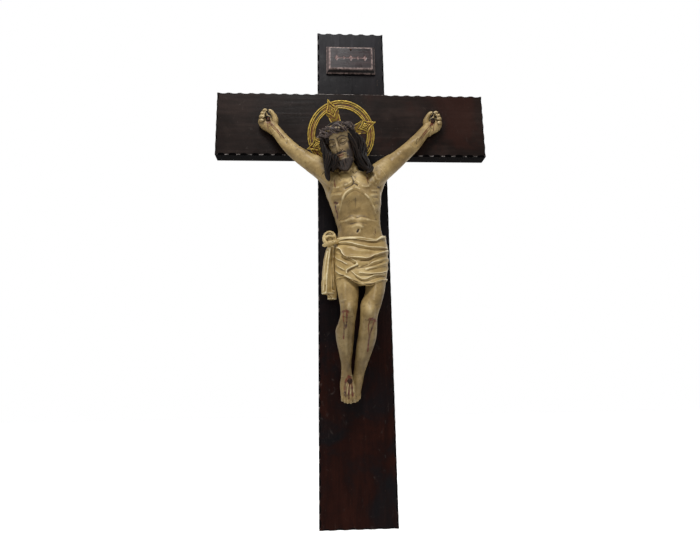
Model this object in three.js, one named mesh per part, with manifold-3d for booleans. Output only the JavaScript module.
// A wall crucifix: two halved boards with hand-cut edges carry a carved and painted figure, its
// leaning gilt halo, a crown of twisted branches, a loincloth, a title block and the nails.
// Millimetres, +Z up. The wall is the plane y = 0, the front faces -Y, and the origin is on the
// wall face at the centre of the crossing. Left and right are the figure's own.
import * as THREE from "three";
import { mergeVertices } from "three/addons/utils/BufferGeometryUtils.js";
import Module from "manifold-3d";

// The cross
const POST_LENGTH = 1000;
const POST_WIDTH = 142;
const BOARD_THICKNESS = 30;
const CROSSBAR_LENGTH = 560;
const CROSSBAR_HEIGHT = 140;
const POST_ABOVE_CENTRE = 216;
const LAP_DEPTH = 15;

// The hand-cut notches along the front edges
const NOTCH_PITCH = 23;
const NOTCH_LENGTH = 19;
const NOTCH_RADIUS = 6;
const NOTCH_DEPTH = 3;
const NOTCH_SLANT = 0.08;

// The title block
const PLAQUE_WIDTH = 104;
const PLAQUE_HEIGHT = 64;
const PLAQUE_THICKNESS = 12;
const PLAQUE_FOOT = 3.5;
const PLAQUE_BEVEL = 7;
const PLAQUE_BELOW_TOP = 68;
const PLAQUE_PIN_RADIUS = 1.2;
const PLAQUE_PIN_HEAD = 2.4;
const PLAQUE_PIN_BELOW_EDGE = 12;

// The figure: its height from the crown to the toes
const FIGURE_HEIGHT = 532;

// The halo
const HALO_RADIUS = 67;
const HALO_BAND = 16;
const HALO_THICKNESS = 3;
const HALO_RIM = 1.4;
const HALO_HUB = 17;
const HALO_ARM_SPREAD = 0.2;
const HALO_ARM_WAIST = 0.42;
const HALO_CORNER = 8;
const HALO_SIDES = 30;

// The kites where the halo's arms cross its band, drawn in along their sides
const KITE_HALF_WIDTH = 13.5;
const KITE_INWARD = 15;
const KITE_OUTWARD = 23;
const KITE_WAIST = 0.42;
const KITE_HEIGHT = 2;
const KITE_HEART = 0.5;

const HALO_PIN_RADIUS = 1.5;
const HALO_PIN_HEAD = 3.3;
const HALO_PIN_LENGTH = 9;

// The crown of twisted branches
const CROWN_STRANDS = 3;
const CROWN_TURNS = 7;
const BRANCH_RADIUS = 3.8;
const TWIST_RADIUS = 5.9;
const THORN_LENGTH = 7;

// Fastenings
const LAP_SCREW_RADIUS = 2;
const LAP_SCREW_LENGTH = 25;
const LAP_SCREW_INSET = 30;
const BODY_SCREW_RADIUS = 2.75;
const BODY_SCREW_LENGTH = 62;
const HAND_NAIL_RADIUS = 2.2;
const HAND_NAIL_HEAD = 4.6;
const FOOT_NAIL_RADIUS = 2.5;
const FOOT_NAIL_HEAD = 5;
const NAIL_GRIP = 18;
const DOWEL_RADIUS = 4;
const DOWEL_LENGTH = 30;

// The keyhole cut in the back of the post, which hangs on a screw head
const KEYHOLE_RADIUS = 6;
const KEYHOLE_SLOT = 6;
const KEYHOLE_RISE = 14;
const KEYHOLE_DEPTH = 11;
const KEYHOLE_LIP = 4;
const KEYHOLE_BELOW_TOP = 48;

// The gap between pieces that seat on each other, and how far a cutter runs past a face
const SEAT = 0.3;
const PAST = 5;

const DRAWN_HEIGHT = 532;
const FIGURE_SCALE = FIGURE_HEIGHT / DRAWN_HEIGHT;
const FRONT = -BOARD_THICKNESS;
const POST_TOP = POST_ABOVE_CENTRE;
const POST_FOOT = POST_ABOVE_CENTRE - POST_LENGTH;

const wasm = await Module();
wasm.setup();

const X_AXIS = new THREE.Vector3(1, 0, 0);
const Y_AXIS = new THREE.Vector3(0, 1, 0);
const Z_AXIS = new THREE.Vector3(0, 0, 1);

// Solids

function solidOf(geometry) {
  const bare = new THREE.BufferGeometry();
  const source = geometry.index ? geometry.toNonIndexed() : geometry;
  bare.setAttribute("position", source.getAttribute("position"));
  const merged = mergeVertices(bare, 1e-4);
  const triVerts = new Uint32Array(merged.index.array);
  const vertProperties = merged.attributes.position.array;
  const solid = new wasm.Manifold(new wasm.Mesh({ numProp: 3, vertProperties, triVerts }));
  if (solid.volume() > 0) return solid;
  for (let i = 0; i < triVerts.length; i += 3)
    [triVerts[i + 1], triVerts[i + 2]] = [triVerts[i + 2], triVerts[i + 1]];
  return new wasm.Manifold(new wasm.Mesh({ numProp: 3, vertProperties, triVerts }));
}

function geometryOf(solid) {
  const { numProp, vertProperties, triVerts } = solid.getMesh();
  const points = new Float32Array((vertProperties.length / numProp) * 3);
  for (let i = 0; i < points.length / 3; i++)
    points.set(vertProperties.subarray(i * numProp, i * numProp + 3), i * 3);
  const form = new THREE.BufferGeometry();
  form.setAttribute("position", new THREE.BufferAttribute(points, 3));
  form.setIndex(new THREE.BufferAttribute(triVerts, 1));
  return form;
}

function joined(solids) {
  return solids.reduce((whole, next) => whole.add(next));
}

// The piece itself, without the crumbs that crossing cuts may leave beside it.
function withoutCrumbs(solid) {
  const [first, ...rest] = solid.decompose();
  return rest.reduce((large, next) => (next.volume() > large.volume() ? next : large), first);
}

function box(low, high) {
  const size = new THREE.Vector3().subVectors(high, low);
  const centre = new THREE.Vector3().addVectors(low, high).multiplyScalar(0.5);
  return solidOf(new THREE.BoxGeometry(size.x, size.y, size.z).translate(...centre.toArray()));
}

// A round bar from one point to another, with its own radius at each end.
function bar(from, to, radiusFrom, radiusTo = radiusFrom, sides = 12) {
  const along = new THREE.Vector3().subVectors(to, from);
  const rod = new THREE.CylinderGeometry(radiusTo, radiusFrom, along.length(), sides);
  rod.applyQuaternion(new THREE.Quaternion().setFromUnitVectors(Y_AXIS, along.clone().normalize()));
  const middle = new THREE.Vector3().addVectors(from, to).multiplyScalar(0.5);
  return solidOf(rod.translate(...middle.toArray()));
}

// A turned piece along a line: profile rows are [distance along it, radius].
function turned(from, direction, profile, sides = 12) {
  const points = profile.map(([along, radius]) => new THREE.Vector2(radius, along));
  const form = new THREE.LatheGeometry(points, sides);
  form.applyQuaternion(new THREE.Quaternion().setFromUnitVectors(Y_AXIS, direction));
  return solidOf(form.translate(...from.toArray()));
}

function ellipsoid(centre, radii, turn = new THREE.Quaternion(), sides = 10, rows = 7) {
  const form = new THREE.SphereGeometry(1, sides, rows).scale(radii[0], radii[1], radii[2]);
  return solidOf(form.applyQuaternion(turn).translate(...centre.toArray()));
}

// Skin over rings with equally many points, closed by a point at each end.
function skin(rings) {
  const sides = rings[0].length;
  const points = rings.flat();
  const middle = (ring) =>
    ring.reduce((sum, p) => sum.add(p), new THREE.Vector3()).divideScalar(ring.length);
  points.push(middle(rings[0]), middle(rings.at(-1)));
  const faces = [];
  const index = (ring, side) => ring * sides + (side % sides);
  for (let side = 0; side < sides; side++) {
    faces.push(points.length - 2, index(0, side), index(0, side + 1));
    const last = rings.length - 1;
    faces.push(points.length - 1, index(last, side + 1), index(last, side));
    for (let ring = 0; ring < last; ring++) {
      faces.push(index(ring, side), index(ring + 1, side), index(ring + 1, side + 1));
      faces.push(index(ring, side), index(ring + 1, side + 1), index(ring, side + 1));
    }
  }
  const form = new THREE.BufferGeometry().setFromPoints(points);
  form.setIndex(faces);
  return solidOf(form);
}

function catmullRom(t, a, b, c, d) {
  const m0 = (c - a) / 2;
  const m1 = (d - b) / 2;
  return (2 * b - 2 * c + m0 + m1) * t ** 3 + (3 * c - 3 * b - 2 * m0 - m1) * t ** 2 + m0 * t + b;
}

// The rows of a section table, with more rows passed smoothly between them.
function refined(rows, steps) {
  const row = (i) => rows[THREE.MathUtils.clamp(i, 0, rows.length - 1)];
  const fine = [];
  for (let i = 0; i < rows.length - 1; i++)
    for (let k = 0; k < steps; k++)
      fine.push(
        row(i).map((b, c) =>
          catmullRom(k / steps, row(i - 1)[c], b, row(i + 1)[c], row(i + 2)[c]),
        ),
      );
  fine.push(row(rows.length - 1));
  return fine;
}

// The figure is drawn as x, the depth in front of the boards, and z, at its drawn height.
function figurePoint(x, depth, z) {
  return new THREE.Vector3(
    x * FIGURE_SCALE,
    FRONT - depth * FIGURE_SCALE,
    z * FIGURE_SCALE,
  );
}

// A limb carved along a spine. A row is [x, depth, z, half width, half depth]. level keeps the
// sections horizontal, power squares them off, and relief lists swellings and hollows as
// [x, depth, z, reach, height].
function limb(rows, options = {}) {
  const { sides = 14, steps = 2, grow = 0, across = X_AXIS, level = false } = options;
  const { power = 2, relief = [], place = figurePoint } = options;
  const fine = refined(rows, steps);
  const centres = fine.map(([x, depth, z]) => place(x, depth, z));
  const swellings = relief.map(([x, depth, z, reach, height]) => ({
    centre: place(x, depth, z),
    reach: reach * FIGURE_SCALE,
    height: height * FIGURE_SCALE,
  }));
  const rings = fine.map(([, , , halfWidth, halfDepth], i) => {
    const before = centres[Math.max(i - 1, 0)];
    const after = centres[Math.min(i + 1, centres.length - 1)];
    const along = level ? Z_AXIS.clone() : new THREE.Vector3().subVectors(after, before).normalize();
    const wide = across.clone().addScaledVector(along, -across.dot(along)).normalize();
    const deep = new THREE.Vector3().crossVectors(along, wide);
    return Array.from({ length: sides }, (_, side) => {
      const angle = (2 * Math.PI * side) / sides;
      const bulge = (value) => Math.sign(value) * Math.abs(value) ** (2 / power);
      const a = bulge(Math.cos(angle)) * (halfWidth * FIGURE_SCALE + grow);
      const b = bulge(Math.sin(angle)) * (halfDepth * FIGURE_SCALE + grow);
      const offset = wide.clone().multiplyScalar(a).addScaledVector(deep, b);
      const point = centres[i].clone().add(offset);
      const outward = offset.normalize();
      const lift = swellings.reduce(
        (sum, s) => sum + s.height * Math.exp(-point.distanceToSquared(s.centre) / s.reach ** 2),
        0,
      );
      return point.addScaledVector(outward, lift);
    });
  });
  return skin(rings);
}

// Everything in front of the boards by the seat gap, wide enough to hold the figure.
function inFrontOfBoards() {
  const reach = POST_LENGTH;
  return box(
    new THREE.Vector3(-reach, FRONT - reach, -reach),
    new THREE.Vector3(reach, FRONT - SEAT, reach),
  );
}

// The cross

function notches(from, to, sideways) {
  const along = new THREE.Vector3().subVectors(to, from);
  const count = Math.floor(along.length() / NOTCH_PITCH);
  const outward = sideways.clone().sub(Y_AXIS).normalize();
  const slanted = along.clone().normalize().addScaledVector(outward, NOTCH_SLANT).normalize();
  const start = NOTCH_RADIUS - NOTCH_DEPTH - (NOTCH_SLANT * NOTCH_LENGTH) / 2;
  return Array.from({ length: count }, (_, i) => {
    const middle = from.clone().addScaledVector(along, (i + 0.5) / count);
    const root = middle
      .addScaledVector(along.clone().normalize(), -NOTCH_LENGTH / 2)
      .addScaledVector(outward, start);
    return turned(
      root,
      slanted,
      [
        [0, 0],
        [NOTCH_LENGTH * 0.55, NOTCH_RADIUS],
        [NOTCH_LENGTH, 0],
      ],
      4,
    );
  });
}

function corner(x, z) {
  return new THREE.Vector3(x, FRONT, z);
}

const LEFTWARD = new THREE.Vector3(-1, 0, 0);
const DOWNWARD = new THREE.Vector3(0, 0, -1);

function lapScrewPlaces() {
  const x = POST_WIDTH / 2 - LAP_SCREW_INSET;
  const z = CROSSBAR_HEIGHT / 2 - LAP_SCREW_INSET;
  return [
    [-x, z],
    [x, z],
    [-x, -z],
    [x, -z],
  ];
}

// A countersunk screw driven from the back face, as a solid or as the clearance round it.
function backScrew(x, z, radius, length, grow = 0) {
  const head = 2 * radius + grow;
  const run = grow ? PAST : 0;
  return turned(new THREE.Vector3(x, -SEAT, z), new THREE.Vector3(0, -1, 0), [
    [-run, 0],
    [-run, head],
    [0, head],
    [radius * 1.1, radius + grow],
    [length - 2 * radius, radius + grow],
    [length + grow, grow],
    [length + grow, 0],
  ]);
}

function keyhole() {
  const z = POST_TOP - KEYHOLE_BELOW_TOP;
  const back = new THREE.Vector3(0, PAST, z);
  const floor = new THREE.Vector3(0, -KEYHOLE_DEPTH, z);
  const rise = new THREE.Vector3(0, 0, KEYHOLE_RISE);
  const lip = new THREE.Vector3(0, -KEYHOLE_LIP, z);
  const half = KEYHOLE_SLOT / 2;
  return joined([
    bar(back, floor, KEYHOLE_RADIUS, KEYHOLE_RADIUS, 16),
    bar(back.clone().add(rise), floor.clone().add(rise), half, half, 8),
    bar(lip.clone().add(rise), floor.clone().add(rise), KEYHOLE_RADIUS, KEYHOLE_RADIUS, 16),
    box(
      new THREE.Vector3(-half, -KEYHOLE_DEPTH, z),
      new THREE.Vector3(half, PAST, z + KEYHOLE_RISE),
    ),
    box(
      new THREE.Vector3(-KEYHOLE_RADIUS, -KEYHOLE_DEPTH, z),
      new THREE.Vector3(KEYHOLE_RADIUS, -KEYHOLE_LIP, z + KEYHOLE_RISE),
    ),
  ]);
}

function post() {
  const half = POST_WIDTH / 2;
  const board = box(
    new THREE.Vector3(-half, FRONT, POST_FOOT),
    new THREE.Vector3(half, 0, POST_TOP),
  );
  const lapHalf = CROSSBAR_HEIGHT / 2 + SEAT;
  const lap = box(
    new THREE.Vector3(-half - PAST, FRONT - PAST, -lapHalf),
    new THREE.Vector3(half + PAST, FRONT + LAP_DEPTH + SEAT, lapHalf),
  );
  const edges = [LEFTWARD, X_AXIS].flatMap((side) => [
    ...notches(corner(side.x * half, POST_FOOT), corner(side.x * half, -lapHalf), side),
    ...notches(corner(side.x * half, lapHalf), corner(side.x * half, POST_TOP), side),
  ]);
  const ends = [
    ...notches(corner(-half, POST_TOP), corner(half, POST_TOP), Z_AXIS),
    ...notches(corner(-half, POST_FOOT), corner(half, POST_FOOT), DOWNWARD),
  ];
  return board.subtract(lap).subtract(joined([...edges, ...ends])).subtract(keyhole());
}

function crossbar() {
  const half = CROSSBAR_LENGTH / 2;
  const rise = CROSSBAR_HEIGHT / 2;
  const board = box(new THREE.Vector3(-half, FRONT, -rise), new THREE.Vector3(half, 0, rise));
  const lapHalf = POST_WIDTH / 2 + SEAT;
  const lap = box(
    new THREE.Vector3(-lapHalf, FRONT + LAP_DEPTH, -rise - PAST),
    new THREE.Vector3(lapHalf, PAST, rise + PAST),
  );
  const edges = [DOWNWARD, Z_AXIS].flatMap((side) => [
    ...notches(corner(-half, side.z * rise), corner(-lapHalf, side.z * rise), side),
    ...notches(corner(lapHalf, side.z * rise), corner(half, side.z * rise), side),
  ]);
  const ends = [LEFTWARD, X_AXIS].flatMap((side) =>
    notches(corner(side.x * half, -rise), corner(side.x * half, rise), side),
  );
  return board.subtract(lap).subtract(joined([...edges, ...ends]));
}

function plaquePinPlace() {
  const z = POST_TOP - PLAQUE_BELOW_TOP + PLAQUE_HEIGHT / 2 - PLAQUE_PIN_BELOW_EDGE;
  return new THREE.Vector3(0, FRONT - SEAT - PLAQUE_THICKNESS, z);
}

function plaque() {
  const slab = (width, height, near, far) => {
    const form = new THREE.BoxGeometry(width, far - near, height);
    return form.translate(0, FRONT - SEAT - (near + far) / 2, POST_TOP - PLAQUE_BELOW_TOP);
  };
  const foot = slab(PLAQUE_WIDTH, PLAQUE_HEIGHT, 0, PLAQUE_THICKNESS);
  // The bevel draws in the front face of the block.
  const place = foot.getAttribute("position");
  const middle = POST_TOP - PLAQUE_BELOW_TOP;
  for (let i = 0; i < place.count; i++) {
    if (place.getY(i) > FRONT - SEAT - PLAQUE_THICKNESS / 2) continue;
    place.setX(i, place.getX(i) - Math.sign(place.getX(i)) * PLAQUE_BEVEL);
    place.setZ(i, place.getZ(i) - Math.sign(place.getZ(i) - middle) * PLAQUE_BEVEL);
  }
  const step = solidOf(slab(PLAQUE_WIDTH, PLAQUE_HEIGHT, 0, PLAQUE_FOOT));
  return solidOf(foot).add(step);
}

// A pin or nail with a domed head on a surface, driven along a direction, or with grow the hole
// for it and the flat seat of its head.
function nail(at, direction, radius, headRadius, length, grow = 0, sides = 8) {
  const headHeight = headRadius * 0.55;
  const profile = grow
    ? [
        [-PAST, 0],
        [-PAST, headRadius + grow],
        [0, headRadius + grow],
        [0, radius + grow],
        [length - radius * 2, radius + grow],
        [length + grow, grow],
        [length + grow, 0],
      ]
    : [
        [-headHeight - SEAT, 0],
        [-headHeight - SEAT, headRadius * 0.55],
        [-headHeight * 0.5 - SEAT, headRadius],
        [-SEAT, headRadius],
        [-SEAT, radius],
        [length - radius * 2, radius],
        [length, 0],
      ];
  return turned(at, direction, profile, sides);
}

// The figure

// Trunk from the neck to the crotch, as [x, depth, z, half width, half depth].
const TRUNK = [
  [-15, 60, -104, 12, 13],
  [-13, 56, -116, 14, 16],
  [-9, 49, -128, 19, 20],
  [-4, 43, -137, 33, 25],
  [-1, 39, -147, 45, 30],
  [0, 38, -157, 51, 35],
  [0, 39, -168, 52, 38.5],
  [0, 40.5, -179, 51.5, 40],
  [1.3, 41, -190, 49.7, 40],
  [2.5, 40, -200, 47.2, 38],
  [4, 39, -212, 44.8, 35],
  [5.7, 38, -225, 42.6, 31],
  [8.6, 38, -243, 41.5, 28.5],
  [9.5, 38, -256, 43, 29],
  [9.6, 38, -275, 46, 33],
  [9.6, 38.5, -300, 47.5, 37],
  [9.5, 40, -322, 46, 37],
  [9.2, 41, -340, 40, 32],
  [9, 42, -352, 26, 22],
];

// Breast, rib arch, belly, back furrow and collar of the trunk.
const TRUNK_RELIEF = [
  [-24, 78, -166, 14, 3],
  [25, 78, -165, 14, 3],
  [1, 82, -160, 7, -2.5],
  [-22, 78, -190, 11, 3],
  [27, 78, -189, 11, 3],
  [-30, 70, -206, 10, 2.5],
  [36, 70, -205, 10, 2.5],
  [3, 80, -200, 12, -4],
  [5, 72, -214, 14, -4],
  [7, 68, -243, 13, 3.5],
  [0, 2, -190, 14, -2.5],
];

// The muscles from breast and flank to the raised arms.
const TRUNK_TO_ARMS = [
  [
    [-10, 42, -180, 6, 6],
    [-23, 54, -167, 12, 11],
    [-36, 55, -153, 15.5, 14.5],
    [-50, 49, -138, 15.5, 15],
    [-68, 41, -120, 14, 14],
    [-82, 38, -106, 10, 10],
  ],
  [
    [12, 42, -180, 6, 6],
    [24, 54, -167, 12, 11],
    [35, 55, -153, 15, 14.5],
    [47, 49, -138, 15.5, 15],
    [64, 41, -119, 14, 14],
    [78, 38, -103, 10, 10],
  ],
  [
    [-38, 35, -190, 9, 19],
    [-42, 35, -172, 11.5, 21],
    [-47, 35, -156, 11.5, 20],
    [-55, 36, -140, 11, 18],
    [-72, 37, -120, 10, 14],
  ],
  [
    [39, 35, -190, 9, 19],
    [42, 35, -172, 10.5, 21],
    [46, 35, -156, 10.5, 20],
    [54, 36, -138, 10.5, 18],
    [68, 37, -119, 10, 14],
  ],
];

const RIGHT_LEG = [
  [-12, 39, -312, 26, 29],
  [-14, 44, -330, 24.5, 27],
  [-16.3, 53, -351, 21.7, 24],
  [-16.5, 61, -366, 19.4, 21],
  [-16.3, 67, -382, 17.3, 18.5],
  [-16, 70, -397, 15.4, 16.5],
  [-17.3, 67, -411, 14.2, 15.5],
  [-19.8, 59, -423, 15.2, 16.5],
  [-22.6, 52, -437, 17, 17.5],
  [-22.6, 45, -453, 16, 15.5],
  [-21.5, 39, -470, 13.4, 13],
  [-20.8, 34, -488, 11, 11.5],
  [-20.5, 32, -503, 10.2, 11.5],
  [-20, 34, -517, 11.2, 11],
  [-19.2, 36, -531, 13.4, 9],
  [-18, 35, -544, 14, 7.5],
  [-18.5, 34, -552, 13, 5],
];

const LEFT_LEG = [
  [30, 39, -312, 25, 29],
  [32.5, 44, -332, 23.5, 27],
  [32, 54, -355, 20.8, 24],
  [29.7, 61, -372, 19.3, 21],
  [25.1, 67, -388, 19, 18.5],
  [21.3, 70, -404, 17, 16.5],
  [19.4, 66, -418, 15.4, 15.5],
  [19, 57, -431, 16.1, 16.5],
  [17.8, 50, -446, 16.8, 17],
  [14.7, 42, -462, 16.4, 15.5],
  [10.9, 34, -479, 14, 13],
  [6.9, 26, -497, 11.9, 11.5],
  [3.4, 20, -512, 10, 11],
  [0.2, 17.5, -526, 10.6, 10.5],
  [-4, 16, -541, 11.5, 8],
  [-6.5, 15, -552, 11, 5],
];

// Kneecaps, shins and calves.
const LEG_RELIEF = [
  [-16, 86, -402, 8, 3],
  [21, 86, -408, 8, 3],
  [-21, 34, -437, 14, 2],
  [17, 33, -446, 14, 2],
];

// Toes: [x, depth, z] of the root and of the tip, and the half width.
const RIGHT_TOES = [
  [-8, 35, -549, -7.5, 35, -561, 3.6],
  [-14, 36, -551, -13.6, 36.5, -564, 2.9],
  [-19, 36, -551, -18.8, 36.5, -564, 2.8],
  [-23.6, 35.5, -550, -23.6, 36, -562.5, 2.7],
  [-28, 34.5, -548, -28.2, 35, -560, 2.6],
];
const LEFT_TOES = [
  [-14, 15, -550, -14, 15, -562, 4],
  [-8.5, 15, -551, -8.5, 15, -563, 2.9],
  [-4, 15, -551, -4, 15, -563, 2.8],
  [0.2, 15, -549, 0.2, 15, -561, 2.6],
  [4, 15, -546, 4, 15, -557, 2.5],
];

function toes(rows, grow) {
  return rows.map(([x0, d0, z0, x1, d1, z1, half]) => {
    const middle = [(x0 + x1) / 2, (d0 + d1) / 2 + 1, (z0 + z1) / 2];
    const spine = [
      [x0, d0, z0 + 4, half * 1.1, half * 1.1],
      [...middle, half * 1.1, half * 1.2],
      [x1, d1, z1 + half * 0.3, half, half],
      [x1, d1, z1 - half * 0.5, half * 0.5, half * 0.5],
    ];
    return limb(spine, { sides: 5, steps: 1, grow });
  });
}

function trunk(grow = 0) {
  const core = { sides: 20, steps: 1, level: true, power: 2.2, relief: TRUNK_RELIEF, grow };
  return joined([
    limb(TRUNK, core),
    ...TRUNK_TO_ARMS.map((rows) => limb(rows, { sides: 8, steps: 1, grow })),
  ]);
}

function legs(grow = 0) {
  return joined(
    [RIGHT_LEG, LEFT_LEG].map((rows) =>
      limb(rows, { sides: 11, steps: 1, relief: LEG_RELIEF, level: true, grow }),
    ),
  );
}

const HEEL_RADII = [8.6, 11, 9];

function heels(grow = 0) {
  return [
    [-20, 17, -514],
    [1.5, 12.5, -516],
  ].map(([x, depth, z]) =>
    ellipsoid(
      figurePoint(x, depth, z),
      HEEL_RADII.map((radius) => radius * FIGURE_SCALE + grow),
      new THREE.Quaternion(),
      7,
      5,
    ),
  );
}

// Arms from inside the shoulder to the wrist.
const RIGHT_ARM = [
  [-28, 38, -146, 22, 23],
  [-48, 38, -130, 21.5, 22],
  [-66, 37.5, -116, 20, 19.5],
  [-84, 36, -103.5, 17.6, 17.5],
  [-99, 33, -92, 15.8, 16],
  [-112, 29.5, -80.5, 14.5, 14.5],
  [-123, 26.5, -69, 14, 13.8],
  [-132.5, 23.5, -57.5, 13.2, 12.8],
  [-142, 20.5, -44.5, 12, 11.6],
  [-151, 17.5, -31.5, 11.3, 10.4],
  [-159.5, 14.5, -19, 11, 9],
  [-165, 12.5, -9, 12, 8.5],
];
const LEFT_ARM = [
  [26, 38, -146, 22, 23],
  [44, 38, -130, 21.5, 22],
  [61, 37.5, -115.5, 20, 19.5],
  [79, 36, -101.5, 17.4, 17.5],
  [96, 32.5, -85.5, 15.6, 16],
  [110, 29, -71.5, 14.6, 14.5],
  [122, 26, -58.5, 14.2, 13.8],
  [131.5, 23, -47, 13.2, 12.8],
  [141, 19.5, -34.5, 12, 11.4],
  [150, 16.5, -22.5, 11.2, 10.2],
  [157, 14, -12, 11, 9],
  [161, 12.5, -4, 12, 8.5],
];

// The hand is drawn from its nail, as on the left arm, and mirrored for the right: rows are
// [x, depth, z, half width, half depth].
const PALM = [
  [-13, 14, -27, 8, 7.5],
  [-8, 12.5, -18, 11.5, 8.5],
  [-2, 11, -10, 14.5, 9],
  [4, 10.5, -3, 16, 9],
  [8, 10, 5, 14.5, 8],
  [10, 10, 10, 10, 6],
];
const FINGERS = [
  [
    [5, 10, 13, 3.8, 4],
    [8, 15, 17.5, 3.9, 3.9],
    [8, 21, 18, 3.7, 3.7],
    [4.5, 24.5, 16.5, 3.4, 3.4],
    [3, 24.5, 15, 2.4, 2.4],
  ],
  [
    [9, 10, 8, 3.9, 4],
    [12.5, 15, 11.5, 4, 3.9],
    [12, 21.5, 11.5, 3.7, 3.7],
    [8, 25, 10, 3.4, 3.4],
    [6, 24.5, 8.5, 2.4, 2.4],
  ],
  [
    [11, 10, 2, 3.9, 4],
    [14.8, 14.5, 4.5, 3.9, 3.9],
    [14.5, 21, 4.5, 3.6, 3.6],
    [10.5, 24.5, 3.5, 3.3, 3.3],
    [8, 24, 2, 2.4, 2.4],
  ],
  [
    [12, 10, -4, 3.8, 4],
    [15, 13.5, -3, 3.7, 3.7],
    [14.8, 18.5, -3, 3.4, 3.4],
    [11.5, 21.5, -3.5, 3.1, 3.1],
    [9, 21, -4.5, 2.2, 2.2],
  ],
];
const THUMB = [
  [-10, 13, -14, 6, 6.5],
  [-13.5, 15, -5, 6.8, 6.8],
  [-13.5, 17, 3, 5.6, 6],
  [-10.5, 19, 10, 4.5, 4.8],
  [-5.5, 21, 16, 4.1, 4.1],
  [-0.5, 22, 17.5, 3.2, 3.2],
];

// The nail's place in each hand and in the crossed feet: [x, depth of the skin, z].
const RIGHT_NAIL = [-171, 18, -1];
const LEFT_NAIL = [167, 18, -1];
const FOOT_NAIL = [-15, 44, -526];

function arm(rows, hand, side, grow = 0) {
  const place = (x, depth, z) => figurePoint(hand[0] + side * x, depth, hand[2] + z);
  const across = new THREE.Vector3(-0.65 * side, 0, 0.76);
  return joined([
    limb(rows, { sides: 11, steps: 1, across, grow }),
    limb(PALM, { sides: 9, steps: 1, across, place, grow }),
    ...FINGERS.map((finger) => limb(finger, { sides: 5, steps: 1, across: Z_AXIS, place, grow })),
    limb(THUMB, { sides: 6, steps: 1, across: Y_AXIS, place, grow }),
  ]);
}

const RIGHT_SIDE = -1;
const LEFT_SIDE = 1;
const rightArmForm = (grow) => arm(RIGHT_ARM, RIGHT_NAIL, RIGHT_SIDE, grow);
const leftArmForm = (grow) => arm(LEFT_ARM, LEFT_NAIL, LEFT_SIDE, grow);

// Nails

const INWARD = Y_AXIS;

function nailLength(depth) {
  return depth * FIGURE_SCALE + NAIL_GRIP;
}

function handNail([x, depth, z], grow = 0) {
  const at = figurePoint(x, depth, z);
  return nail(at, INWARD, HAND_NAIL_RADIUS, HAND_NAIL_HEAD, nailLength(depth), grow);
}

function footNail(grow = 0) {
  const [x, depth, z] = FOOT_NAIL;
  const at = figurePoint(x, depth, z);
  return nail(at, INWARD, FOOT_NAIL_RADIUS, FOOT_NAIL_HEAD, nailLength(depth), grow);
}

const BODY_SCREW_Z = -300;

function bodyScrew(grow = 0) {
  const z = BODY_SCREW_Z * FIGURE_SCALE;
  return backScrew(0, z, BODY_SCREW_RADIUS, BODY_SCREW_LENGTH, grow);
}

// The arms are doweled on at a flat joint across each shoulder: [x, depth, z] of its middle.
const RIGHT_SHOULDER = [-54, 38, -126];
const LEFT_SHOULDER = [50, 38, -126];

function shoulderOutward(side) {
  return new THREE.Vector3(side * 0.78, 0, 0.62).normalize();
}

function shoulderDowel(joint, side, grow = 0) {
  const half = shoulderOutward(side).multiplyScalar(DOWEL_LENGTH / 2 + grow);
  const middle = figurePoint(...joint);
  const radius = DOWEL_RADIUS + grow;
  return bar(middle.clone().sub(half), middle.clone().add(half), radius, radius, 10);
}

// The half of space on the side of a flat joint that a direction points to.
function beyond(point, direction, gap = 0) {
  const reach = 4 * FIGURE_HEIGHT;
  const slab = new THREE.BoxGeometry(reach, reach, reach).translate(0, reach / 2 + gap, 0);
  slab.applyQuaternion(new THREE.Quaternion().setFromUnitVectors(Y_AXIS, direction));
  return solidOf(slab.translate(...point.toArray()));
}

// The head bows, leans to the figure's right and turns to that side.
const HEAD_CENTRE = [-26, 67, -80];
const HEAD_LEAN = -0.32;
const HEAD_BOW = 0.26;
const HEAD_TURN = -0.38;
const HEAD_TURNED = new THREE.Quaternion()
  .setFromAxisAngle(Y_AXIS, HEAD_LEAN)
  .multiply(new THREE.Quaternion().setFromAxisAngle(X_AXIS, HEAD_BOW))
  .multiply(new THREE.Quaternion().setFromAxisAngle(Z_AXIS, HEAD_TURN));

// A point of the head: x to its left, depth forwards from between the ears, z to the crown.
function headPoint(x, depth, z) {
  return new THREE.Vector3(x, -depth, z)
    .multiplyScalar(FIGURE_SCALE)
    .applyQuaternion(HEAD_TURNED)
    .add(figurePoint(...HEAD_CENTRE));
}

const HEAD_UP = Z_AXIS.clone().applyQuaternion(HEAD_TURNED);
const HEAD_ACROSS = X_AXIS.clone().applyQuaternion(HEAD_TURNED);

function headLimb(rows, options) {
  return limb(rows, { across: HEAD_ACROSS, place: headPoint, ...options });
}

const SKULL = [
  [0, 22, -44, 8, 6],
  [0, 20.5, -39, 14, 12],
  [0, 17, -31, 19, 17.5],
  [0, 14, -23, 22, 20],
  [0, 10, -15, 24, 23.5],
  [0, 6, -7, 25.5, 26.5],
  [0, 3, 1, 26.5, 29],
  [0, 1, 9, 27.5, 32.5],
  [0, -1, 17, 28, 34],
  [0, -3, 26, 25.5, 30],
  [0, -5, 33.5, 19, 22],
  [0, -6, 38, 9, 11],
];
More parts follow.
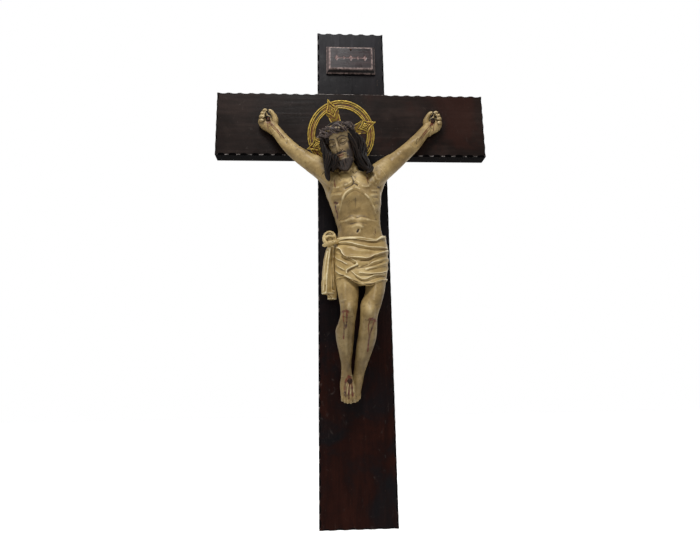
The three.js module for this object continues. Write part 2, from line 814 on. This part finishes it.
// Brow, eye sockets, cheekbones, hollow cheeks and the sides of the nose.
const FACE_RELIEF = [
  [-10, 34, 9, 7, 1.6],
  [10, 34, 9, 7, 1.6],
  [-11, 32, 0, 6, -3.2],
  [11, 32, 0, 6, -3.2],
  [-17, 25, -8, 8, 1.6],
  [17, 25, -8, 8, 1.6],
  [-17, 24, -22, 8, -2],
  [17, 24, -22, 8, -2],
];
const HAIR_CAP = [
  [0, -20, -46, 14, 8],
  [0, -17, -34, 23, 15],
  [0, -14, -20, 28.5, 20],
  [0, -12, -6, 31, 23],
  [0, -9, 8, 31.5, 26.5],
  [0, -4, 20.5, 30.5, 32],
  [0, -3.5, 30, 26, 28.5],
  [0, -5, 37.5, 19, 21.5],
  [0, -6, 42, 9, 11],
];
const NOSE = [
  [0, 30, 8, 2.6, 4],
  [0, 32, 2, 2.8, 4],
  [0, 34, -5, 3.2, 4.8],
  [0, 35.5, -11, 4.3, 5.4],
  [0, 34.5, -14.5, 4.8, 4.6],
  [0, 32, -16.5, 3, 3],
];
// Closed lids and lips, each as a centre and its three radii.
const LIDS_AND_LIPS = [
  [-11, 27.5, 0, 6, 4.6, 4],
  [11, 27.5, 0, 6, 4.6, 4],
  [0, 32, -23, 6.5, 3, 1.8],
  [0, 31.3, -26.6, 5.4, 3, 2.1],
];
const BEARD = [
  [0, 11, -17, 24.5, 19],
  [0, 14.5, -26, 23.5, 17.5],
  [0, 18, -35, 20, 16],
  [0, 21, -43, 14, 12.5],
  [0, 23, -49, 8, 8.5],
  [0, 24, -53, 3.5, 4],
];
// The bare face above the beard: the beard is hollowed here for the mouth and the cheeks.
const BARE_FACE = [
  [0, 33, -20, 12, 8],
  [-12, 30, -12, 12, 12],
  [12, 30, -12, 12, 12],
];
const MOUSTACHE = [
  [0.5, 33.5, -18.5, 1.6, 2],
  [5, 32.5, -20, 2, 2.4],
  [10, 29.5, -24, 2.2, 2.6],
  [13, 26.5, -30, 2, 2.4],
];

// Locks of hair beside the face and over the shoulders, drawn in the figure's own space.
const LOCKS = [
  [
    [-56, 78, -70, 7, 9],
    [-59, 79, -86, 7.5, 11],
    [-55, 80, -102, 9, 12],
    [-50.5, 81, -118, 10.5, 12],
    [-50, 81, -130, 9, 11],
    [-53, 79, -141, 6, 8],
    [-52, 77, -151, 3.5, 5],
    [-50, 76, -158, 1.5, 2],
  ],
  [
    [-27, 92, -62, 6, 6],
    [-38, 91, -69, 7, 7],
    [-48, 86, -78, 7, 8],
    [-55, 80, -89, 6, 8],
  ],
  [
    [-40, 88, -112, 6, 8],
    [-38, 88, -124, 7, 8],
    [-40, 85, -134, 5, 6],
    [-43, 82, -142, 2, 3],
  ],
  [
    [-18, 90, -66, 7, 5],
    [-8, 87, -82, 7.5, 8],
    [0, 82, -98, 7, 10],
    [7, 77, -113, 6.5, 10],
    [14, 74, -125, 6.5, 8],
    [23, 74, -134, 5, 6],
    [28, 76, -139, 2, 3],
  ],
  [
    [-2, 62, -54, 8, 10],
    [9, 60, -66, 11, 13],
    [15, 60, -84, 11, 14],
    [15, 62, -102, 9.5, 13],
    [22, 66, -117, 8.5, 10],
    [29, 70, -128, 6.5, 8],
    [27, 74, -138, 4, 5],
    [21, 77, -143, 1.5, 2],
  ],
  [
    [-22, 40, -88, 26, 14],
    [-18, 36, -106, 30, 15],
    [-14, 30, -122, 26, 12],
    [-12, 24, -134, 12, 7],
  ],
];

// The neck below the head, down to the joint on the trunk.
const NECK = [
  [-24, 58, -78, 14, 15],
  [-17, 58, -104, 12.5, 14.5],
  [-13, 57, -120, 15, 17],
];
const NECK_JOINT = [-13, 58, -116];
const NECK_UP = new THREE.Vector3(-0.2, -0.25, 0.95).normalize();

function neckDowel(grow = 0) {
  const middle = figurePoint(...NECK_JOINT);
  const half = NECK_UP.clone().multiplyScalar(DOWEL_LENGTH / 2 + grow);
  const radius = DOWEL_RADIUS + grow;
  return bar(middle.clone().sub(half), middle.clone().add(half), radius, radius, 10);
}

// The crown's course round the head, and the channel that it is bedded in.
const CROWN_HALF_WIDTH = 31;
const CROWN_HALF_DEPTH = 30;
const CROWN_HEIGHT = 25.5;
const CROWN_FORWARD = 1.5;
const CROWN_RISE = 4;

function crownCourse(turn) {
  const x = CROWN_HALF_WIDTH * Math.cos(turn);
  const depth = CROWN_HALF_DEPTH * Math.sin(turn);
  return headPoint(x, CROWN_FORWARD + depth, CROWN_HEIGHT + CROWN_RISE * Math.sin(turn));
}

function crownTube(steps, sides, ringAt) {
  const rings = Array.from({ length: steps }, (_, i) => {
    const turn = (2 * Math.PI * i) / steps;
    return Array.from({ length: sides }, (_, side) => ringAt(turn, (2 * Math.PI * side) / sides));
  });
  const points = rings.flat();
  const faces = [];
  const index = (ring, side) => (ring % steps) * sides + (side % sides);
  for (let ring = 0; ring < steps; ring++)
    for (let side = 0; side < sides; side++) {
      const [a, b] = [index(ring, side), index(ring + 1, side)];
      const [c, d] = [index(ring + 1, side + 1), index(ring, side + 1)];
      faces.push(a, b, c, a, c, d);
    }
  const form = new THREE.BufferGeometry().setFromPoints(points);
  form.setIndex(faces);
  return solidOf(form);
}

function crownFrame(turn) {
  const centre = headPoint(0, CROWN_FORWARD, CROWN_HEIGHT);
  const at = crownCourse(turn);
  const outward = new THREE.Vector3().subVectors(at, centre);
  outward.addScaledVector(HEAD_UP, -outward.dot(HEAD_UP)).normalize();
  return { at, outward };
}

function crownPoint(turn, reach, angle) {
  const { at, outward } = crownFrame(turn);
  return at
    .addScaledVector(outward, reach * Math.cos(angle))
    .addScaledVector(HEAD_UP, reach * Math.sin(angle));
}

function crownChannel() {
  const reach = (TWIST_RADIUS + BRANCH_RADIUS + SEAT) / Math.cos(Math.PI / 6);
  return crownTube(20, 6, (turn, angle) => crownPoint(turn, reach, angle));
}

function branchAngle(strand, turn) {
  return CROWN_TURNS * turn + (2 * Math.PI * strand) / CROWN_STRANDS;
}

function branch(strand) {
  const steps = 5 * CROWN_TURNS;
  const tube = crownTube(steps, 4, (turn, angle) => {
    const twist = branchAngle(strand, turn);
    const { outward } = crownFrame(turn);
    return crownPoint(turn, TWIST_RADIUS, twist)
      .addScaledVector(outward, BRANCH_RADIUS * Math.cos(angle))
      .addScaledVector(HEAD_UP, BRANCH_RADIUS * Math.sin(angle));
  });
  return joined([tube, ...thorns(strand)]);
}

// Thorns stand where a branch runs on the outside of the twist, clear of the halo.
function thorns(strand) {
  const turns = Array.from(
    { length: CROWN_TURNS },
    (_, i) => (2 * Math.PI * (i - strand / CROWN_STRANDS)) / CROWN_TURNS,
  );
  return turns
    .filter((turn) => Math.sin(turn) > -0.5)
    .map((turn, i) => {
      const { outward } = crownFrame(turn);
      const root = crownPoint(turn, TWIST_RADIUS, branchAngle(strand, turn));
      const reach = outward.addScaledVector(HEAD_UP, i % 2 ? 0.5 : -0.4).normalize();
      const tip = root.clone().addScaledVector(reach, BRANCH_RADIUS + THORN_LENGTH);
      return bar(root, tip, BRANCH_RADIUS * 0.6, 0.3, 3);
    });
}

// The halo leans with the head and stands on the back of the hair.
const HALO_CENTRE = [-24.1, 35, -44.2];
const HALO_LEAN = 0.475;
const HALO_ROLL = 0.375;
const HALO_TURNED = new THREE.Quaternion()
  .setFromAxisAngle(X_AXIS, HALO_LEAN)
  .multiply(new THREE.Quaternion().setFromAxisAngle(Y_AXIS, -HALO_ROLL));
const HALO_FORWARD = new THREE.Vector3(0, -1, 0).applyQuaternion(HALO_TURNED);

// The halo is worked flat, drawn on x and z and raised forwards, and leant when it is whole.
function haloPlate(shape, thickness) {
  const form = new THREE.ExtrudeGeometry(shape, {
    depth: thickness,
    bevelEnabled: false,
    curveSegments: 3,
  });
  return solidOf(form.rotateX(Math.PI / 2));
}

function polar(radius, turn) {
  return [radius * Math.cos(turn), radius * Math.sin(turn)];
}

// The opening between two arms of the halo's cross, with rounded outer corners.
function haloOpening(turn) {
  const outer = HALO_RADIUS - HALO_BAND;
  const wide = Math.PI / 4 - HALO_ARM_SPREAD;
  const narrow = Math.PI / 4 - HALO_ARM_WAIST;
  const middle = turn + Math.PI / 4;
  const round = HALO_CORNER / outer;
  const shoulder = outer - HALO_CORNER;
  const path = new THREE.Path();
  path.moveTo(...polar(outer, middle - wide + round));
  path.absarc(0, 0, outer, middle - wide + round, middle + wide - round, false);
  path.quadraticCurveTo(...polar(outer, middle + wide), ...polar(shoulder, middle + wide));
  path.lineTo(...polar(HALO_HUB, middle + narrow));
  path.absarc(0, 0, HALO_HUB, middle + narrow, middle - narrow, true);
  path.lineTo(...polar(shoulder, middle - wide));
  path.quadraticCurveTo(...polar(outer, middle - wide), ...polar(outer, middle - wide + round));
  return path;
}

function haloLozenge(turn) {
  const along = (points) =>
    new THREE.Shape(
      points.map(([x, y]) => new THREE.Vector2(x, y).rotateAround(new THREE.Vector2(), turn)),
    );
  const middle = HALO_RADIUS - HALO_BAND;
  const waist = KITE_HALF_WIDTH * KITE_WAIST;
  const kite = (size) =>
    along([
      [0, middle - KITE_INWARD * size],
      [waist * size, middle - KITE_INWARD * KITE_WAIST * size],
      [KITE_HALF_WIDTH * size, middle],
      [waist * size, middle + KITE_OUTWARD * KITE_WAIST * size],
      [0, middle + KITE_OUTWARD * size],
      [-waist * size, middle + KITE_OUTWARD * KITE_WAIST * size],
      [-KITE_HALF_WIDTH * size, middle],
      [-waist * size, middle - KITE_INWARD * KITE_WAIST * size],
    ]);
  return joined([
    haloPlate(kite(1), HALO_THICKNESS + KITE_HEIGHT),
    haloPlate(kite(KITE_HEART), HALO_THICKNESS + 2 * HALO_RIM),
  ]);
}

// A raised rim, one lip wide, outwards from a radius.
function haloRim(radius) {
  const lip = HALO_BAND / 5;
  const profile = [
    [radius, HALO_THICKNESS / 2],
    [radius + lip, HALO_THICKNESS / 2],
    [radius + lip, HALO_THICKNESS + HALO_RIM],
    [radius, HALO_THICKNESS + HALO_RIM],
    [radius, HALO_THICKNESS / 2],
  ].map(([across, height]) => new THREE.Vector2(across, -height));
  return solidOf(new THREE.LatheGeometry(profile, HALO_SIDES));
}

function leant(solid) {
  const form = geometryOf(solid).applyQuaternion(HALO_TURNED);
  return solidOf(form.translate(...figurePoint(...HALO_CENTRE).toArray()));
}

function halo() {
  const turns = [0, 1, 2, 3].map((quarter) => (quarter * Math.PI) / 2);
  const edge = Array.from({ length: HALO_SIDES }, (_, i) =>
    new THREE.Vector2(...polar(HALO_RADIUS, (2 * Math.PI * i) / HALO_SIDES)),
  );
  const plate = new THREE.Shape(edge);
  plate.holes = turns.map(haloOpening);
  const flat = joined([
    haloPlate(plate, HALO_THICKNESS),
    haloRim(HALO_RADIUS - HALO_BAND + HALO_BAND / 20),
    haloRim(HALO_RADIUS - HALO_BAND / 4),
    ...turns.map(haloLozenge),
  ]);
  return leant(flat);
}

function haloPin(grow = 0) {
  const at = figurePoint(...HALO_CENTRE);
  return nail(at, HALO_FORWARD, HALO_PIN_RADIUS, HALO_PIN_HEAD, HALO_PIN_LENGTH, grow);
}

// Cuts the back of the hair flat where the halo lies on it.
function haloSide() {
  const reach = 4 * HALO_RADIUS;
  const slab = new THREE.BoxGeometry(reach, reach, reach);
  slab.translate(0, reach / 2 - HALO_THICKNESS - 2 * HALO_RIM - SEAT, 0);
  slab.applyQuaternion(HALO_TURNED);
  return solidOf(slab.translate(...figurePoint(...HALO_CENTRE).toArray()));
}

const WRAP_SQUARENESS = 0.88;

// The loincloth: a thick wrap with a rolled band, its knot and its hanging end.
const WRAP = [
  [9.3, 39, -253, 43, 36],
  [9.3, 39, -256, 47, 38.5],
  [9, 39.5, -264, 49.5, 40],
  [9.3, 40, -273, 50.5, 41],
  [9.4, 41, -283, 52, 41.5],
  [9.5, 42, -295, 52, 42.5],
  [9.5, 42.5, -307, 51.6, 43],
  [9.5, 43, -320, 50.8, 43],
  [9.3, 43.5, -333, 49.2, 42.5],
  [9, 44, -346, 47.4, 42],
  [8.8, 44, -362, 45.5, 40],
];
// Folds: rolls of cloth laid over the front of the wrap, as the start, the middle and the end of
// each one's course, [x, z], and its radius.
const FOLDS = [
  [[-39, -266], [6, -273], [57, -268], 5.5],
  [[-38, -284], [4, -326], [57, -290], 5],
  [[-38, -298], [-6, -332], [6, -330], 4.5],
  [[57, -302], [26, -326], [-4, -326], 4.5],
  [[57, -318], [24, -350], [-18, -334], 5],
  [[-38, -326], [2, -366], [54, -340], 5],
];
const FOLD_STEPS = 6;

function wrapRow(z) {
  const rows = refined(WRAP, 4);
  return rows.reduce((near, row) => (Math.abs(row[2] - z) < Math.abs(near[2] - z) ? row : near));
}

// How far in front of the boards the wrap stands at a place on its front.
function wrapDepth(x, z) {
  const [centre, depth, , halfWidth, halfDepth] = wrapRow(z);
  const across = THREE.MathUtils.clamp((x - centre) / halfWidth, -1, 1);
  const front = 1 - Math.abs(across) ** (2 / WRAP_SQUARENESS);
  return depth + halfDepth * front ** (WRAP_SQUARENESS / 2);
}

function foldRoll([start, middle, end, radius], grow) {
  const rows = Array.from({ length: FOLD_STEPS }, (_, i) => {
    const t = i / (FOLD_STEPS - 1);
    const [x, z] = [0, 1].map(
      (k) => (1 - t) ** 2 * start[k] + 2 * t * (1 - t) * middle[k] + t ** 2 * end[k],
    );
    const size = radius * (0.55 + 0.45 * Math.sin(Math.PI * t));
    return [x, wrapDepth(x, z) - size * 0.45, z, size, size];
  });
  return limb(rows, { sides: 5, steps: 1, across: Z_AXIS, grow });
}

function wrapForm(grow = 0) {
  const sides = 22;
  const rings = WRAP.map(([x, depth, z, halfWidth, halfDepth]) =>
    Array.from({ length: sides }, (_, side) => {
      const angle = (2 * Math.PI * side) / sides;
      const squared = (value) => Math.sign(value) * Math.abs(value) ** WRAP_SQUARENESS;
      const across = squared(Math.cos(angle)) * (halfWidth + grow / FIGURE_SCALE);
      const deep = squared(Math.sin(angle)) * (halfDepth + grow / FIGURE_SCALE);
      return figurePoint(x + across, depth + deep, z);
    }),
  );
  return joined([skin(rings), ...FOLDS.map((fold) => foldRoll(fold, grow))]);
}

// The hem rises over the right thigh and hangs lower on the left: [x, z] along it.
const HEM = [
  [-60, -340],
  [-38, -342],
  [-20, -347],
  [0, -356],
  [12, -359],
  [33, -356],
  [52, -349],
  [70, -345],
];

function belowHem() {
  const reach = 150 * FIGURE_SCALE;
  const points = HEM.map(([x, z]) => new THREE.Vector2(x, z).multiplyScalar(FIGURE_SCALE));
  const shape = new THREE.Shape().moveTo(-reach, points[0].y).lineTo(points[0].x, points[0].y);
  shape.splineThru(points.slice(1));
  shape.lineTo(reach, points.at(-1).y).lineTo(reach, -4 * reach).lineTo(-reach, -4 * reach);
  const form = new THREE.ExtrudeGeometry(shape, {
    depth: 2 * reach,
    bevelEnabled: false,
    curveSegments: 2,
  });
  return solidOf(form.rotateX(Math.PI / 2));
}

// The knot: a rolled ring of cloth round a tucked-in core, facing forwards.
const KNOT_CENTRE = [-50, 62, -269.5];
const KNOT_RING = 9.5;
const KNOT_ROLL = 5.6;
const KNOT_CORE = [-47.5, 60, -272, 7, 7, 8];
const KNOT_STRETCH = 1.22;

function knotForm(grow = 0) {
  const form = new THREE.TorusGeometry(
    KNOT_RING * FIGURE_SCALE,
    KNOT_ROLL * FIGURE_SCALE + grow,
    6,
    12,
  );
  form.rotateX(Math.PI / 2).scale(1, 1.4, KNOT_STRETCH).rotateZ(-0.3);
  const ring = solidOf(form.translate(...figurePoint(...KNOT_CENTRE).toArray()));
  const [x, depth, z, ...radii] = KNOT_CORE;
  const grown = radii.map((radius) => radius * FIGURE_SCALE + grow);
  return ring.add(ellipsoid(figurePoint(x, depth, z), grown));
}

const TAIL = [
  [-46, 56, -282, 4, 6],
  [-48.5, 54, -288, 8, 8],
  [-50.5, 50, -303, 9.8, 9],
  [-51.5, 47, -320, 11, 10],
  [-52.3, 44, -338, 12, 10.5],
  [-52.5, 41, -354, 13, 10.5],
  [-52, 39, -368, 12.8, 9.5],
];
const INNER_TAIL = [
  [-43, 41, -306, 4, 8],
  [-44, 39, -325, 6.5, 9],
  [-45, 37, -345, 8, 9],
  [-45, 35, -364, 9, 8.5],
  [-45, 34, -377, 9, 7.5],
];

function tailForm() {
  return joined([
    limb(TAIL, { sides: 10, steps: 1, level: true, power: 1.7 }),
    limb(INNER_TAIL, { sides: 8, steps: 1, level: true, power: 1.7 }),
  ]);
}

// Assembly

const SKIN = new THREE.MeshStandardMaterial({ color: 0xb99c6c, roughness: 0.55, metalness: 0 });
const CLOTH = new THREE.MeshStandardMaterial({ color: 0xc9b07a, roughness: 0.6, metalness: 0 });
const HAIR = new THREE.MeshStandardMaterial({ color: 0x2c1f1a, roughness: 0.5, metalness: 0 });
const BRANCH = new THREE.MeshStandardMaterial({ color: 0x4a3a33, roughness: 0.6, metalness: 0 });
const GILT = new THREE.MeshStandardMaterial({ color: 0xb08a2c, roughness: 0.35, metalness: 0.9 });
const IRON = new THREE.MeshStandardMaterial({ color: 0x2a2624, roughness: 0.5, metalness: 0.8 });
const STEEL = new THREE.MeshStandardMaterial({ color: 0x8d8d8a, roughness: 0.35, metalness: 1 });
const BOARD = new THREE.MeshStandardMaterial({ color: 0x281a16, roughness: 0.35, metalness: 0 });
const BLOCK = new THREE.MeshStandardMaterial({ color: 0x4a3835, roughness: 0.4, metalness: 0 });
const PEG = new THREE.MeshStandardMaterial({ color: 0xb08d5b, roughness: 0.7, metalness: 0 });

const crucifix = new THREE.Group();

function addPiece(name, solid, material) {
  const form = geometryOf(solid);
  form.computeVertexNormals();
  const mesh = new THREE.Mesh(form, material);
  mesh.name = name;
  crucifix.add(mesh);
}

function addCross() {
  const lapHoles = joined(
    lapScrewPlaces().map(([x, z]) => backScrew(x, z, LAP_SCREW_RADIUS, LAP_SCREW_LENGTH, SEAT)),
  );
  const nailHoles = [handNail(RIGHT_NAIL, SEAT), handNail(LEFT_NAIL, SEAT), footNail(SEAT)];
  const pinHole = plaquePin(SEAT);
  addPiece(
    "post",
    post().subtract(joined([lapHoles, footNail(SEAT), bodyScrew(SEAT), pinHole])),
    BOARD,
  );
  addPiece("crossbar", crossbar().subtract(joined([lapHoles, ...nailHoles])), BOARD);
  lapScrewPlaces().forEach(([x, z], i) =>
    addPiece(`lap_screw_${i + 1}`, backScrew(x, z, LAP_SCREW_RADIUS, LAP_SCREW_LENGTH), STEEL),
  );
  addPiece("title_block", plaque().subtract(pinHole), BLOCK);
  addPiece("title_pin", plaquePin(), IRON);
}

function plaquePin(grow = 0) {
  const length = PLAQUE_THICKNESS + NAIL_GRIP / 2;
  return nail(plaquePinPlace(), INWARD, PLAQUE_PIN_RADIUS, PLAQUE_PIN_HEAD, length, grow);
}

// Everything of the figure but the head and the loincloth, as one carving before the joints.
function carving(grow = 0) {
  return joined([trunk(grow), legs(grow), ...heels(grow), rightArmForm(grow), leftArmForm(grow)]);
}

const SHOULDERS = [
  { name: "right", joint: RIGHT_SHOULDER, side: RIGHT_SIDE, nailPlace: RIGHT_NAIL },
  { name: "left", joint: LEFT_SHOULDER, side: LEFT_SIDE, nailPlace: LEFT_NAIL },
];

function addFigure() {
  const whole = carving().intersect(inFrontOfBoards());
  const feet = joined([...toes(RIGHT_TOES, 0), ...toes(LEFT_TOES, 0)]);
  const dowelHoles = SHOULDERS.map(({ joint, side }) => shoulderDowel(joint, side, SEAT));
  const armSpaces = SHOULDERS.map(({ joint, side }) =>
    beyond(figurePoint(...joint), shoulderOutward(side)),
  );
  const headSpace = beyond(figurePoint(...NECK_JOINT), NECK_UP).subtract(joined(armSpaces));
  const holes = joined([...dowelHoles, neckDowel(SEAT), footNail(SEAT), bodyScrew(SEAT)]);
  const body = whole.add(feet.intersect(inFrontOfBoards()));
  addPiece("figure_body", body.subtract(joined([...armSpaces, headSpace, holes])), SKIN);
  SHOULDERS.forEach(({ name, joint, side, nailPlace }, i) => {
    const space = beyond(figurePoint(...joint), shoulderOutward(side), SEAT);
    const armHoles = joined([dowelHoles[i], handNail(nailPlace, SEAT)]);
    addPiece(`${name}_arm`, whole.intersect(space).subtract(armHoles), SKIN);
    addPiece(`${name}_shoulder_dowel`, shoulderDowel(joint, side), PEG);
    addPiece(`${name}_hand_nail`, handNail(nailPlace), IRON);
  });
  addPiece("foot_nail", footNail(), IRON);
  addPiece("body_screw", bodyScrew(), STEEL);
  addPiece("neck_dowel", neckDowel(), PEG);
}

function headForm() {
  const neck = limb(NECK, { sides: 12, steps: 1, level: true });
  const radii = (three) => three.map((radius) => radius * FIGURE_SCALE);
  const cheeks = BARE_FACE.map(([x, depth, z, across, up]) =>
    ellipsoid(headPoint(x, depth, z), radii([across, 5, up]), HEAD_TURNED, 7, 5),
  );
  const mirrored = MOUSTACHE.map(([x, ...rest]) => [-x, ...rest]);
  return joined([
    headLimb(BEARD, { sides: 14, steps: 1 }).subtract(joined(cheeks)),
    headLimb(SKULL, { sides: 22, steps: 1, relief: FACE_RELIEF }),
    headLimb(HAIR_CAP, { sides: 16, steps: 1 }),
    headLimb(NOSE, { sides: 6, steps: 1 }),
    headLimb(MOUSTACHE, { sides: 5, steps: 1, across: HEAD_UP }),
    headLimb(mirrored, { sides: 5, steps: 1, across: HEAD_UP }),
    neck.intersect(beyond(figurePoint(...NECK_JOINT), NECK_UP, SEAT)),
    ...LIDS_AND_LIPS.map(([x, depth, z, ...three]) =>
      ellipsoid(headPoint(x, depth, z), radii(three), HEAD_TURNED, 7, 5),
    ),
    ...LOCKS.map((lock) => limb(lock, { sides: 6, steps: 1, level: true })),
  ]);
}

function addHead() {
  const below = carving(SEAT).subtract(beyond(figurePoint(...NECK_JOINT), NECK_UP));
  const arms = rightArmForm(SEAT).add(leftArmForm(SEAT));
  const head = headForm()
    .intersect(inFrontOfBoards())
    .subtract(below)
    .subtract(arms)
    .subtract(haloSide())
    .subtract(crownChannel())
    .subtract(joined([neckDowel(SEAT), haloPin(SEAT)]));
  addPiece("head", withoutCrumbs(head), HAIR);
  for (let strand = 0; strand < CROWN_STRANDS; strand++)
    addPiece(`crown_branch_${strand + 1}`, branch(strand), BRANCH);
  addPiece("halo", halo().subtract(haloPin(SEAT)), GILT);
  addPiece("halo_pin", haloPin(), STEEL);
}

function addLoincloth() {
  const room = inFrontOfBoards();
  const clear = joined([trunk(SEAT), legs(SEAT), bodyScrew(SEAT)]);
  const wrap = wrapForm().intersect(room).subtract(clear).subtract(belowHem());
  const taken = clear.add(wrapForm(SEAT));
  addPiece("loincloth", wrap, CLOTH);
  addPiece("loincloth_knot", knotForm().subtract(taken), CLOTH);
  const end = tailForm().subtract(taken.add(knotForm(SEAT))).intersect(room);
  addPiece("loincloth_end", end, CLOTH);
}

addCross();
addFigure();
addHead();
addLoincloth();

export default crucifix;
